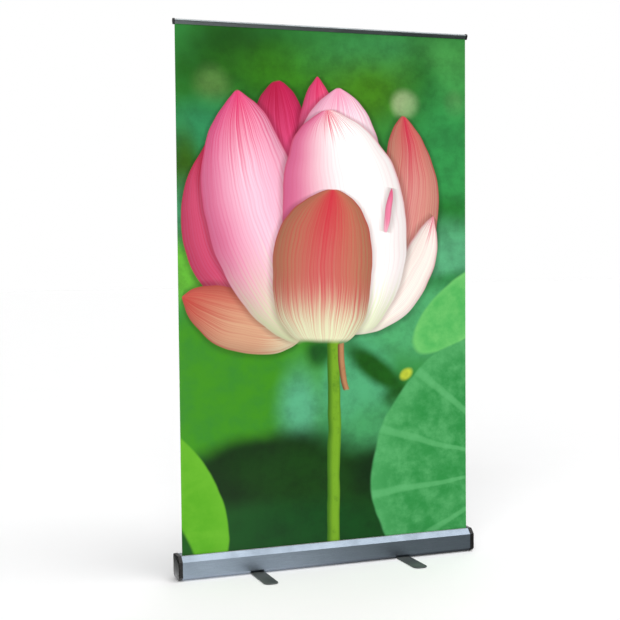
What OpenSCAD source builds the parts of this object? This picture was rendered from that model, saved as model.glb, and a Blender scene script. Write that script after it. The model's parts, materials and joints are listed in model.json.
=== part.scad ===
// Roll-up banner stand with a spring roller, a telescopic pole and swivel feet.
// Millimetres. +X along the banner, +Y to the back, +Z up, origin on the floor.

/* [Banner] */
// Width of the printed banner
banner_w = 1200; // [600:50:1500]
// Height of the top rail's lower edge above the floor
rail_z = 2078; // [1900:10:2200]
// Thickness of the banner film
film_t = 0.3; // [0.2:0.05:0.5]

/* [Housing] */
// Depth of the housing, front to back
housing_d = 80; // [76:1:90]
// Height of the housing's top above the floor
housing_top = 92.5; // [90:0.5:100]
// Height of the housing's underside above the floor
housing_base = 6; // [6:0.5:8]
// Depth and height of the sloping front shoulder
shoulder = 20; // [16:1:22]
// Depth and height of the lower front bevel
bevel = 10; // [6:1:12]
// Wall of the aluminium profile
wall = 1.6; // [1.2:0.1:2]
// Thickness of each end cap
cap_t = 16; // [10:1:20]

/* [Roller] */
// Outer radius of the roller tube
roller_r = 16; // [14:0.5:17]
// Turns of the roller's torsion spring
spring_turns = 24; // [10:1:30]

/* [Feet] */
// Distance between the centres of the two feet
foot_spacing = 614; // [450:2:640]
// Width of a foot
foot_w = 56; // [40:1:70]
// Length of a foot
foot_l = 410; // [300:5:450]
// Thickness of a foot's steel plate
foot_t = 4; // [3:0.5:4]

/* [Pole] */
// Outer radius of the lower pole section
pole_r = 11; // [10:0.5:12]
// Travel of each telescopic section
pole_travel = 600; // [400:10:600]

/* [Hidden] */
$fn = 64;

half_d = housing_d / 2;
half_w = banner_w / 2;
cap_in = half_w + 5;            // inner face of an end cap
cap_out = cap_in + cap_t;       // outer face of an end cap
cap_lip = 1.5;                  // how far a cap stands proud of the profile
cap_skin = 3;                   // thickness of a cap's outer face
back_r = 22;                    // radius of the housing's lower back edge
rear_r = 6;                     // radius of the housing's upper back edge
miter = sqrt(2) - 1;            // shift of a 45 degree corner per mm of inset

sheet_y = -12;                  // plane that the banner hangs in
slot_front = -16;
slot_back = -8;
roller_y = 5;
roller_z = 40;
roller_wall = 1;
roller_end = half_w + 1;        // end of the roller tube
plug_face = roller_end + 1.5;   // outer face of a roller plug
wound_r = 16.5;                 // outside of the turns left on the roller
film_gap = 0.05;

shaft_r = 4;
shaft_end = half_w - 380;       // inner end of the spring's shaft
tail = 6;                       // square end of the shaft
socket_depth = 11;              // how deep the shaft and the pin go into the caps
pin_r = 3;
run = 0.05;                     // radial clearance of a running fit
spring_r = 7.6;
wire_r = 0.8;
spring_steps = 10;              // rings per turn of the spring
spring_sides = 5;

// Screw ports of the profile, front low, front high, rear high, rear low
ports = [
    [-half_d + 4.6, housing_base + 18],
    [-half_d + 4.6, housing_top - 28.5],
    [half_d - 4.6, housing_top - 12.5],
    [half_d - back_r + 12.3, housing_base + back_r - 12.3]
];
port_r = 3.6;
port_hole = 1.6;
port_sink_r = 2.9;              // counterbore for a cap screw's head
port_sink = 8;
screw_head_r = 2.8;
recess_l = 3.2;                 // arm length of a screw's cross recess
recess_w = 0.6;

foot_gap = 1.2;                 // height of the foot's plate above the floor
foot_top = foot_gap + foot_t;
foot_corner = 20;
pad_r = 8;
pad_inset_x = 12;               // pad's centre from the foot's long edge
pad_inset_y = 24;               // and from its end
pivot_r = 3;
pivot_head = 6;
sink_depth = 3.2;               // countersink under the foot
washer_r = 11;
nut_r = 5.8;
nut_t = 5;

pole_y = 24.5;
pole_base = housing_top - 29.5;
pole_wall = 1.2;
socket_wall = 2;
flange_x = 20;                  // distance of the socket's screws from the pole
flange_t = 3;
flange_r = 7;
flange_screw_r = 1.35;
section_wall = 1;
middle_r = pole_r - pole_wall - 0.3;
upper_r = middle_r - section_wall - 0.5;
lower_top = pole_base + pole_travel + 72;
overlap = 50;                   // tube left inside the next one when drawn out
middle_low = lower_top - overlap;
middle_top = lower_top + pole_travel + 70;
upper_low = middle_top - overlap;
upper_top = rail_z - 12;
guide_h = 6;
collar_h = 48;
collar_over = 13;               // how far a collar reaches above its tube
collar_wall = 3.5;
grip_r = 1.4;                   // radius of a collar's grip grooves
grip_end = 6;                   // plain length at each end of the grooves

rail_r = 7;                     // radius of the rail's round upper half
rail_axis = 12;                 // height of the rail's hinge above its lower edge
rail_foot = 2.2;                // half width of the rail's lower edge
rail_wall = 1.4;
rail_cap_t = 7;
jaw_gap = 0.25;                 // half the space between the two rail halves
jaw_play = 0.4;                 // clearance between the jaw's ends and the rail caps
bead_r = 1.4;
channel_r = 1.5;
ring_r = 2.9;
film_top = 8;                   // how far the banner goes up into the rail
hook_w = 18;
hook_play = 0.1;
peg_r = 0.9;                    // peg that holds a rail cap
peg_l = 12;

// Points along an arc, from one angle to another
function arc(cy, cz, r, from, to, steps = 12) =
    [for (i = [0:steps]) let (a = from + (to - from) * i / steps) [cy + r * cos(a), cz + r * sin(a)]];

// Outline of the housing in the YZ plane, moved inwards by t
function shell_outline(t) = concat(
    [[-half_d + bevel + miter * t, housing_base + t]],
    arc(half_d - back_r, housing_base + back_r, back_r - t, -90, 0),
    arc(half_d - rear_r, housing_top - rear_r, rear_r - t, 0, 90, 6),
    [[-half_d + shoulder + miter * t, housing_top - t],
     [-half_d + t, housing_top - shoulder - miter * t],
     [-half_d + t, housing_base + bevel + miter * t]]
);

// Outline of the rail about its hinge, moved inwards by t
function rail_outline(t) =
    let (
        r = rail_r - t,
        foot_y = rail_foot - t * 0.6,
        foot_z = rail_axis - t,
        touch = acos(r / norm([foot_y, foot_z])) - atan2(foot_z, foot_y)
    )
    concat(arc(0, 0, r, touch, 180 - touch, 24), [[-foot_y, -foot_z], [foot_y, -foot_z]]);

// A wedge of a disc, as seen along X
function wedge(from, to, r = 30) = concat([[0, 0]], arc(0, 0, r, from, to));

// Extrudes a YZ outline along X
module along_x(x0, x1) {
    translate([x0, 0, 0]) rotate([90, 0, 90]) linear_extrude(x1 - x0) children();
}

// A cylinder along X
module rod_x(x0, x1, y, z, r) {
    translate([x0, y, z]) rotate([0, 90, 0]) cylinder(h = x1 - x0, r = r);
}

// A cylinder along X on the roller's axis
module rod_on_roller(x0, x1, r) {
    rod_x(x0, x1, roller_y, roller_z, r);
}

// A vertical tube on the pole's axis
module pole_tube(z0, z1, r, hole) {
    translate([0, pole_y, z0]) difference() {
        cylinder(h = z1 - z0, r = r);
        translate([0, 0, -1]) cylinder(h = z1 - z0 + 2, r = hole);
    }
}

// Extrudes an outline drawn about the rail's hinge along X
module along_rail(x0, x1) {
    along_x(x0, x1) translate([sheet_y, rail_z + rail_axis]) children();
}

module housing() {
    color("silver") difference() {
        along_x(-cap_in, cap_in) difference() {
            union() {
                difference() {
                    polygon(shell_outline(0));
                    polygon(shell_outline(wall));
                }
                for (p = ports) translate(p) circle(r = port_r);
            }
            for (p = ports) translate(p) circle(r = port_hole);
            translate([slot_front, housing_top - 10]) square([slot_back - slot_front, 20]);
        }
        for (x = [-1, 1] * foot_spacing / 2)
            translate([x, 0, housing_base - 1]) cylinder(h = wall + 2, r = pivot_r + run);
        translate([0, pole_y, pole_base - 4]) cylinder(h = 40, r = pole_r + socket_wall + 0.1);
        for (x = [-1, 1] * flange_x)
            translate([x, pole_y, housing_top - wall - 1]) cylinder(h = wall + 2, r = flange_screw_r + run);
    }
}

// A hollow moulded cap, drawn on the right-hand end
module end_cap() {
    difference() {
        union() {
            difference() {
                along_x(cap_in, cap_out) polygon(shell_outline(-cap_lip));
                along_x(cap_in - 1, cap_out - cap_skin) polygon(shell_outline(1.2));
            }
            rod_on_roller(cap_in, cap_out - cap_skin + 0.5, 9);
            for (p = ports) rod_x(cap_in, cap_out - cap_skin + 0.5, p[0], p[1], port_r);
        }
        for (p = ports) {
            rod_x(cap_in - 1, cap_out + 1, p[0], p[1], port_hole + 0.1);
            rod_x(cap_out - port_sink, cap_out + 1, p[0], p[1], port_sink_r);
        }
    }
}

module end_cap_left() {
    color("dimgray") difference() {
        mirror([1, 0, 0]) end_cap();
        translate([-cap_in - socket_depth, roller_y - tail / 2 - run, roller_z - tail / 2 - run])
            cube([socket_depth + 1, tail + 2 * run, tail + 2 * run]);
    }
}

module end_cap_right() {
    color("dimgray") difference() {
        end_cap();
        rod_on_roller(cap_in - 1, cap_in + socket_depth, 5);
    }
}

// Cross recess of a screw, to be cut up from its floor
module cross_recess() {
    for (turn = [0, 90]) rotate([0, 0, turn])
        translate([-recess_l / 2, -recess_w / 2, 0]) cube([recess_l, recess_w, 2]);
}

module end_cap_screws() {
    head = cap_out - port_sink + 0.1;
    color("gray") for (side = [0, 1]) mirror([side, 0, 0]) for (p = ports) difference() {
        union() {
            rod_x(cap_in - 14, head + 1, p[0], p[1], port_hole - 0.1);
            rod_x(head, head + 2.5, p[0], p[1], screw_head_r);
        }
        translate([head + 1.7, p[0], p[1]]) rotate([0, 90, 0]) cross_recess();
    }
}

module spring_shaft() {
    color("lightsteelblue") {
        rod_on_roller(-cap_in, -shaft_end, shaft_r);
        translate([-cap_in - socket_depth + 0.5, roller_y - tail / 2, roller_z - tail / 2])
            cube([socket_depth, tail, tail]);
    }
}

module spring_anchor() {
    color("white") difference() {
        rod_on_roller(-shaft_end - 15, -shaft_end, 10);
        rod_on_roller(-shaft_end - 16, -shaft_end + 1, shaft_r + 0.02);
    }
}

module torsion_spring() {
    first = -roller_end + 25;
    last = -shaft_end - 17;
    rings = spring_turns * spring_steps;
    points = [for (i = [0:rings], j = [0:spring_sides - 1])
        let (
            turn = 360 * i / spring_steps,
            around = 360 * j / spring_sides,
            r = spring_r + wire_r * cos(around)
        )
        [first + (last - first) * i / rings + wire_r * sin(around),
         roller_y + r * cos(turn), roller_z + r * sin(turn)]];
    skin = [for (i = [0:rings - 1], j = [0:spring_sides - 1])
        let (a = i * spring_sides + j, b = i * spring_sides + (j + 1) % spring_sides)
        each [[a, a + spring_sides, b], [b, a + spring_sides, b + spring_sides]]];
    ends = [
        [for (j = [0:spring_sides - 1]) j],
        [for (j = [spring_sides - 1:-1:0]) rings * spring_sides + j]
    ];
    color("slategray") polyhedron(points, concat(skin, ends));
}

module roller_tube() {
    color("gainsboro") difference() {
        rod_on_roller(-roller_end, roller_end, roller_r);
        rod_on_roller(-roller_end - 1, roller_end + 1, roller_r - roller_wall);
    }
}

// A plug in the roller's end, drawn on the right
module roller_plug(depth, bore) {
    difference() {
        union() {
            rod_on_roller(roller_end, plug_face, roller_r);
            rod_on_roller(roller_end - depth, roller_end + 0.5, roller_r - roller_wall - run);
        }
        rod_on_roller(roller_end - depth - 1, plug_face + 1, bore);
    }
}

module roller_plug_left() {
    color("ivory") mirror([1, 0, 0]) roller_plug(23, 6.02);
}

module roller_plug_right() {
    color("ivory") roller_plug(26, pin_r + 0.02);
}

module shaft_bush() {
    color("wheat") difference() {
        rod_on_roller(-plug_face, -roller_end + 23, 6);
        rod_on_roller(-plug_face - 1, -roller_end + 24, shaft_r + run);
    }
}

module idle_axle_pin() {
    color("lightsteelblue") rod_on_roller(roller_end - 20, cap_in + socket_depth - 1, pin_r);
}

module idle_bush() {
    color("wheat") difference() {
        rod_on_roller(cap_in, cap_in + socket_depth - 0.02, 4.98);
        rod_on_roller(cap_in - 1, cap_in + socket_depth + 1, pin_r + run);
    }
}

module wound_banner() {
    color("whitesmoke") difference() {
        rod_on_roller(-half_w, half_w, wound_r);
        rod_on_roller(-half_w - 1, half_w + 1, roller_r + film_gap);
    }
}

module leader_strip() {
    color("white") translate([-half_w, sheet_y - film_t / 2, roller_z])
        cube([banner_w, film_t, housing_top - roller_z - film_gap]);
}

module pole_socket() {
    deck_z = housing_top + film_gap;
    color("dimgray") difference() {
        union() {
            translate([0, pole_y, pole_base - 1.5])
                cylinder(h = deck_z - pole_base + 2, r = pole_r + socket_wall);
            hull() for (x = [-1, 1] * flange_x)
                translate([x, pole_y, deck_z]) cylinder(h = flange_t, r = flange_r, $fn = 32);
            translate([0, pole_y, deck_z]) cylinder(h = flange_t + 2, r = pole_r + socket_wall + 1.5);
        }
        translate([0, pole_y, pole_base]) cylinder(h = 50, r = pole_r + run);
        for (x = [-1, 1] * flange_x) {
            translate([x, pole_y, deck_z - 1]) cylinder(h = flange_t + 3, r = flange_screw_r + 0.25);
            translate([x, pole_y, deck_z + 1.4]) cylinder(h = flange_t, r = screw_head_r + 0.2);
        }
    }
}

module socket_screws() {
    deck_z = housing_top + film_gap;
    color("gray") for (x = [-1, 1] * flange_x) translate([x, pole_y, 0]) difference() {
        union() {
            translate([0, 0, housing_top - 8]) cylinder(h = 10, r = flange_screw_r);
            translate([0, 0, deck_z + 1.45]) cylinder(h = 1.5, r = screw_head_r);
        }
        translate([0, 0, deck_z + 2.2]) cross_recess();
    }
}

// One flat steel foot about its own pivot
module foot() {
    x = foot_w / 2 - foot_corner;
    y = foot_l / 2 - foot_corner;
    translate([0, 0, foot_gap]) difference() {
        linear_extrude(foot_t) polygon(concat(
            arc(x, y, foot_corner, 0, 90, 10),
            arc(-x, y, foot_corner, 90, 180, 10),
            arc(-x, -y, foot_corner, 180, 270, 10),
            arc(x, -y, foot_corner, 270, 360, 10)
        ));
        translate([0, 0, -1]) cylinder(h = foot_t + 2, r = pivot_r + run);
        translate([0, 0, -0.01]) cylinder(h = sink_depth, r1 = pivot_head + 0.2, r2 = pivot_r);
    }
}

// Four rubber pads under one foot
module foot_pads() {
    for (x = [-1, 1] * (foot_w / 2 - pad_inset_x), y = [-1, 1] * (foot_l / 2 - pad_inset_y))
        translate([x, y, 0]) cylinder(h = foot_gap, r = pad_r);
}

module foot_left() {
    color("dimgray") translate([-foot_spacing / 2, 0, 0]) foot();
}

module foot_right() {
    color("dimgray") translate([foot_spacing / 2, 0, 0]) foot();
}

module foot_left_pads() {
    color("black") translate([-foot_spacing / 2, 0, 0]) foot_pads();
}

module foot_right_pads() {
    color("black") translate([foot_spacing / 2, 0, 0]) foot_pads();
}

// Places children at both foot pivots
module at_pivots() {
    for (x = [-1, 1] * foot_spacing / 2) translate([x, 0, 0]) children();
}

module foot_pivot_screws() {
    color("lightsteelblue") at_pivots() difference() {
        union() {
            translate([0, 0, foot_gap + 0.1]) cylinder(h = 3, r1 = pivot_head, r2 = pivot_r);
            translate([0, 0, foot_gap + 2]) cylinder(h = housing_base + 6, r = pivot_r);
        }
        translate([0, 0, foot_gap]) cylinder(h = 1.8, r = 2, $fn = 6);
    }
}

module foot_washers() {
    color("white") at_pivots() translate([0, 0, foot_top + run]) difference() {
        cylinder(h = housing_base - foot_top - 2 * run, r = washer_r);
        translate([0, 0, -1]) cylinder(h = 4, r = pivot_r + run);
    }
}

module foot_nuts() {
    color("lightsteelblue") at_pivots() translate([0, 0, housing_base + wall + run]) difference() {
        cylinder(h = nut_t, r = nut_r, $fn = 6);
        translate([0, 0, -1]) cylinder(h = nut_t + 2, r = pivot_r + 0.02);
    }
}

module pole_lower() {
    color("silver") pole_tube(pole_base + 2, lower_top, pole_r, pole_r - pole_wall);
}

module pole_foot_plug() {
    color("dimgray") translate([0, pole_y, pole_base]) {
        cylinder(h = 1.98, r = pole_r - run);
        cylinder(h = 10, r = pole_r - pole_wall - run);
    }
}

module pole_middle() {
    color("silver") pole_tube(middle_low, middle_top, middle_r, middle_r - section_wall);
}

module pole_upper() {
    color("silver") pole_tube(upper_low, upper_top, upper_r, upper_r - section_wall);
}

// Sliding guide at the lower end of a pole section
module pole_guide(z, r, hole) {
    translate([0, pole_y, z - guide_h]) {
        cylinder(h = guide_h - 0.02, r = r);
        cylinder(h = guide_h + 10, r = hole);
    }
}

module pole_middle_guide() {
    color("ivory") pole_guide(middle_low, pole_r - pole_wall - run, middle_r - section_wall - run);
}

module pole_upper_guide() {
    color("ivory") pole_guide(upper_low, middle_r - section_wall - run, upper_r - section_wall - run);
}

// Twist-lock collar over the top of a tube, with grip grooves
module pole_collar(top, tube_r, inner_r) {
    low = top - collar_h + collar_over;
    collar_r = tube_r + collar_wall;
    translate([0, pole_y, low]) difference() {
        cylinder(h = collar_h, r = collar_r);
        translate([0, 0, -1]) cylinder(h = top - low + 1 + run, r = tube_r + run);
        cylinder(h = collar_h + 1, r = inner_r + run);
        for (i = [0:11]) rotate([0, 0, 30 * i])
            translate([collar_r + 0.6, 0, grip_end])
                cylinder(h = collar_h - 2 * grip_end, r = grip_r, $fn = 24);
    }
}

module pole_collar_lower() {
    color("dimgray") pole_collar(lower_top, pole_r, middle_r);
}

module pole_collar_upper() {
    color("dimgray") pole_collar(middle_top, middle_r, upper_r);
}

// Moulded head in the pole's top that hooks over the back of the rail
module pole_hook() {
    reach = pole_y - sheet_y + 9;
    color("dimgray") {
        along_rail(-hook_w / 2, hook_w / 2) {
            difference() {
                union() {
                    circle(r = rail_r + 1.8);
                    translate([4, -6]) square([reach - 4, 9]);
                }
                circle(r = rail_r + hook_play);
                polygon(wedge(52, 330));
            }
            intersection() {
                difference() {
                    circle(r = rail_r + 1);
                    circle(r = rail_r - rail_wall + 0.2);
                }
                polygon(wedge(29, 52));
            }
        }
        translate([0, pole_y, upper_top]) cylinder(h = rail_axis + 8, r = upper_r + 1);
        translate([0, pole_y, upper_top - 20]) cylinder(h = 21, r = upper_r - section_wall - run);
    }
}

// Hollow wall of the rail
module rail_skin() {
    difference() {
        polygon(rail_outline(0));
        polygon(rail_outline(rail_wall));
    }
}

module rail_back() {
    color("gray") along_rail(-half_w, half_w) difference() {
        union() {
            intersection() {
                rail_skin();
                polygon(wedge(-90, 25));
            }
            circle(r = ring_r);
            translate([2, -0.7]) square([4.2, 1.4]);
            translate([0, -rail_axis]) square([rail_foot, 3.4]);
        }
        circle(r = channel_r);
        polygon(wedge(116, 208));
        translate([-1, -rail_axis - 1]) square([1 + jaw_gap, rail_axis - ring_r + 0.9]);
        translate([0, -rail_axis + 0.9]) square([1.1, 1.8]);
    }
}

module rail_front() {
    end = half_w - jaw_play;
    color("gray") along_rail(-end, end) difference() {
        union() {
            intersection() {
                rail_skin();
                polygon(wedge(95, 270));
            }
            circle(r = bead_r);
            translate([-6.2, -0.6]) square([6.2, 1.2]);
            translate([-rail_foot, -rail_axis]) square([rail_foot, 3.4]);
        }
        translate([-jaw_gap, -rail_axis - 1]) square([2, rail_axis - ring_r + 0.9]);
    }
}

module rail_grip_strip() {
    color("black") translate([-half_w, sheet_y + jaw_gap, rail_z + 0.92])
        cube([banner_w, 0.83, 1.76]);
}

// A cap on the rail's end with a peg into its hollow back half, drawn on the right
module rail_cap() {
    along_rail(half_w, half_w + rail_cap_t) polygon(rail_outline(-2));
    rod_x(half_w - peg_l, half_w + 1, sheet_y + 3, rail_z + 7.6, peg_r);
}

module rail_cap_left() {
    color("black") mirror([1, 0, 0]) rail_cap();
}

module rail_cap_right() {
    color("black") rail_cap();
}

module banner() {
    color("forestgreen") translate([-half_w, sheet_y - film_t / 2, housing_top])
        cube([banner_w, film_t, rail_z + film_top - housing_top]);
}

housing();
end_cap_left();
end_cap_right();
end_cap_screws();
spring_shaft();
spring_anchor();
torsion_spring();
roller_tube();
roller_plug_left();
roller_plug_right();
shaft_bush();
idle_axle_pin();
idle_bush();
wound_banner();
leader_strip();
pole_socket();
socket_screws();
foot_left();
foot_right();
foot_left_pads();
foot_right_pads();
foot_pivot_screws();
foot_washers();
foot_nuts();
pole_lower();
pole_foot_plug();
pole_middle();
pole_middle_guide();
pole_upper();
pole_upper_guide();
pole_collar_lower();
pole_collar_upper();
pole_hook();
rail_back();
rail_front();
rail_cap_left();
rail_cap_right();
rail_grip_strip();
banner();
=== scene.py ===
# Roll-up banner stand: camera, materials and the pieces that stand for the plain CAD solids
import json
import math

import bmesh
import bpy
from mathutils import Matrix, Vector


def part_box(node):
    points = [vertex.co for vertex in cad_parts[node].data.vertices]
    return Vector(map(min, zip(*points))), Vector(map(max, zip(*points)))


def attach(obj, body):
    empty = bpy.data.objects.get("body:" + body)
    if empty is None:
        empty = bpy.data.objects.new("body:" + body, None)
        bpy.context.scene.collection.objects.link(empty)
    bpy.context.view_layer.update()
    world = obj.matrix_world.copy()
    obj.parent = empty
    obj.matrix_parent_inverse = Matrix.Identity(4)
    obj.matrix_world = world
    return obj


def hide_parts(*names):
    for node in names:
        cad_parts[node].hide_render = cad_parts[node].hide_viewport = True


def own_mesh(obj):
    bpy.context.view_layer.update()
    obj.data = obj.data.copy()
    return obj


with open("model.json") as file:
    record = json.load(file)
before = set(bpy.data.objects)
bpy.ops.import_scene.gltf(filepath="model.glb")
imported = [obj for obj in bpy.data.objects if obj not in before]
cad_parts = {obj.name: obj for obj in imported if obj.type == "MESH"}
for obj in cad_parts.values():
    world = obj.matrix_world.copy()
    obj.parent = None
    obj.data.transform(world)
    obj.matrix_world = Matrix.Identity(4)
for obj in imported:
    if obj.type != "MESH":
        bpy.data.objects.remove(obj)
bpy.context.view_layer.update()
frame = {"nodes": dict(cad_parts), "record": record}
cadNodes = frame["nodes"]
print("frame loaded, nodes:", len(cadNodes))

mm = 0.001

camera = {
    "place": (-1.7967, -4.5825, 1.2704),
    "turn": 20.63,      # degrees to the right of straight ahead
    "tip": 3.09,        # degrees down
    "roll": -0.50,
    "lens": 73.24,
}


def addCamera():
    bpy.ops.object.camera_add(location=camera["place"])
    eye = bpy.context.object
    turn = Matrix.Rotation(-math.radians(camera["turn"]), 4, "Z")
    tip = Matrix.Rotation(math.radians(90 - camera["tip"]), 4, "X")
    roll = Matrix.Rotation(math.radians(camera["roll"]), 4, "Z")
    eye.matrix_world = Matrix.Translation(camera["place"]) @ turn @ tip @ roll
    eye.data.lens = camera["lens"]
    eye.data.clip_end = 200
    bpy.context.scene.camera = eye


addCamera()
print("camera placed")


# small helpers for node trees

def ink(red, green, blue):
    # screen values from 0 to 255, turned into scene colours
    shares = [value / 255 for value in (red, green, blue)]
    return tuple(s / 12.92 if s <= 0.04045 else ((s + 0.055) / 1.055) ** 2.4 for s in shares) + (1.0,)


def feed(tree, socket, value):
    if isinstance(value, bpy.types.NodeSocket):
        tree.links.new(value, socket)
    else:
        socket.default_value = value


def addNode(tree, kind, values=None, **settings):
    node = tree.nodes.new("ShaderNode" + kind)
    for name, value in settings.items():
        setattr(node, name, value)
    for name, value in (values or {}).items():
        feed(tree, node.inputs[name], value)
    return node


def calc(tree, operation, *values):
    node = addNode(tree, "Math", operation=operation)
    for socket, value in zip(node.inputs, values):
        feed(tree, socket, value)
    return node.outputs[0]


def vectorCalc(tree, operation, *values):
    node = addNode(tree, "VectorMath", operation=operation)
    for socket, value in zip(node.inputs, values):
        feed(tree, socket, value)
    return node.outputs["Value" if operation in ("DOT_PRODUCT", "LENGTH") else "Vector"]


def fade(tree, value, low, high, atLow=0.0, atHigh=1.0):
    node = addNode(tree, "MapRange", interpolation_type="SMOOTHSTEP")
    for socket, item in zip(node.inputs, (value, low, high, atLow, atHigh)):
        feed(tree, socket, item)
    return node.outputs[0]


def mixColour(tree, share, first, second, blend="MIX"):
    node = addNode(tree, "Mix", data_type="RGBA", blend_type=blend)
    for index, value in ((0, share), (6, first), (7, second)):
        feed(tree, node.inputs[index], value)
    return node.outputs[2]


def noise(tree, point, scale, detail=2.0, roughness=0.5):
    values = {"Vector": point, "Scale": scale, "Detail": detail, "Roughness": roughness}
    return addNode(tree, "TexNoise", values).outputs[0]


def stretched(tree, point, stretch):
    return vectorCalc(tree, "MULTIPLY", point, stretch)


def weighed(tree, first, firstShare, second, secondShare):
    parts = [calc(tree, "MULTIPLY", *pair) for pair in ((first, firstShare), (second, secondShare))]
    return calc(tree, "ADD", *parts)


def newGroup(name, inputs, outputs):
    # inputs are (name, kind, value), outputs are (name, kind)
    tree = bpy.data.node_groups.new(name, "ShaderNodeTree")
    for label, kind, value in inputs:
        socket = tree.interface.new_socket(name=label, in_out="INPUT", socket_type="NodeSocket" + kind)
        socket.default_value = value
    for label, kind in outputs:
        tree.interface.new_socket(name=label, in_out="OUTPUT", socket_type="NodeSocket" + kind)
    return tree, tree.nodes.new("NodeGroupInput").outputs, tree.nodes.new("NodeGroupOutput").inputs


def useGroup(tree, group, values):
    node = tree.nodes.new("ShaderNodeGroup")
    node.node_tree = group
    for name, value in values.items():
        feed(tree, node.inputs[name], value)
    return node.outputs


# effects shared by several materials

def makeDrawnLines():
    # fine lines that run along the piece, as extruding and brushing leave them
    tree, given, out = newGroup(
        "drawnLines",
        [("Point", "Vector", (0, 0, 0)), ("Along", "Vector", (1, 60, 60)), ("Scale", "Float", 40.0)],
        [("Lines", "Float"), ("Height", "Float")],
    )
    point = stretched(tree, given["Point"], given["Along"])
    coarse = noise(tree, point, given["Scale"], 3.0, 0.6)
    fine = noise(tree, point, calc(tree, "MULTIPLY", given["Scale"], 5.3), 2.0, 0.7)
    lines = weighed(tree, coarse, 0.55, fine, 0.45)
    feed(tree, out["Lines"], fade(tree, lines, 0.3, 0.7))
    feed(tree, out["Height"], lines)
    return tree


def makeHandled():
    # soft smudges and specks of dust from use
    tree, given, out = newGroup(
        "handled",
        [("Point", "Vector", (0, 0, 0)), ("Scale", "Float", 9.0)],
        [("Smudge", "Float"), ("Dust", "Float")],
    )
    broad = noise(tree, given["Point"], given["Scale"], 4.0, 0.62)
    specks = noise(tree, given["Point"], calc(tree, "MULTIPLY", given["Scale"], 60.0), 1.0, 0.4)
    feed(tree, out["Smudge"], fade(tree, broad, 0.35, 0.7))
    feed(tree, out["Dust"], fade(tree, specks, 0.66, 0.78))
    return tree


def makeGrain():
    # the fine pebbled skin of moulded plastic, rubber and powder coat
    tree, given, out = newGroup(
        "grain",
        [("Point", "Vector", (0, 0, 0)), ("Scale", "Float", 900.0)],
        [("Grain", "Float")],
    )
    values = {"Vector": given["Point"], "Scale": given["Scale"]}
    cells = addNode(tree, "TexVoronoi", values, feature="SMOOTH_F1").outputs[0]
    soft = noise(tree, given["Point"], calc(tree, "MULTIPLY", given["Scale"], 0.4), 3.0)
    feed(tree, out["Grain"], weighed(tree, cells, 0.6, soft, 0.4))
    return tree


drawnLines = makeDrawnLines()
handled = makeHandled()
grain = makeGrain()


def newMaterial(name, **constants):
    material = bpy.data.materials.new(name)
    material.use_nodes = True
    tree = material.node_tree
    shader = tree.nodes["Principled BSDF"]
    for label, value in constants.items():
        shader.inputs[label].default_value = value
    point = addNode(tree, "TexCoord").outputs["Object"]
    return material, tree, shader, point


def bump(tree, shader, height, strength, distance):
    node = addNode(tree, "Bump", {"Height": height, "Strength": strength, "Distance": distance})
    feed(tree, shader.inputs["Normal"], node.outputs[0])


def makeMetal(name, look):
    material, tree, shader, point = newMaterial(
        name, **{"Metallic": look.get("metal", 1.0), "Anisotropic": look.get("anisotropy", 0.0)})
    lines = useGroup(tree, drawnLines, {"Point": point, "Along": look["along"], "Scale": look["lines"]})
    marks = useGroup(tree, handled, {"Point": point, "Scale": look.get("marks", 9.0)})
    colour = mixColour(tree, lines["Lines"], look["dark"], look["light"])
    dulled = mixColour(tree, calc(tree, "MULTIPLY", marks["Smudge"], 0.25), colour, look["dark"])
    dusty = mixColour(tree, calc(tree, "MULTIPLY", marks["Dust"], 0.2), dulled, ink(190, 188, 184))
    feed(tree, shader.inputs["Base Color"], dusty)
    low, high = look["roughness"]
    rough = weighed(tree, marks["Smudge"], 0.6, lines["Lines"], 0.4)
    feed(tree, shader.inputs["Roughness"], fade(tree, rough, 0.0, 1.0, low, high))
    bump(tree, shader, lines["Height"], look["bump"], 0.05 * mm)
    return material


def makePlastic(name, look):
    material, tree, shader, point = newMaterial(
        name, **{"Specular IOR Level": look.get("specular", 0.5), "IOR": look.get("ior", 1.5)})
    skin = useGroup(tree, grain, {"Point": point, "Scale": look["grain"]})
    marks = useGroup(tree, handled, {"Point": point, "Scale": look.get("marks", 14.0)})
    colour = mixColour(tree, marks["Smudge"], look["dark"], look["light"])
    dust = calc(tree, "MULTIPLY", marks["Dust"], look.get("dust", 0.25))
    dusty = mixColour(tree, dust, colour, ink(120, 118, 114))
    feed(tree, shader.inputs["Base Color"], dusty)
    low, high = look["roughness"]
    feed(tree, shader.inputs["Roughness"], fade(tree, marks["Smudge"], 0.0, 1.0, low, high))
    bump(tree, shader, skin["Grain"], look["bump"], look.get("depth", 0.05) * mm)
    return material


alongX, alongZ = (1, 60, 60), (60, 60, 1)

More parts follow.
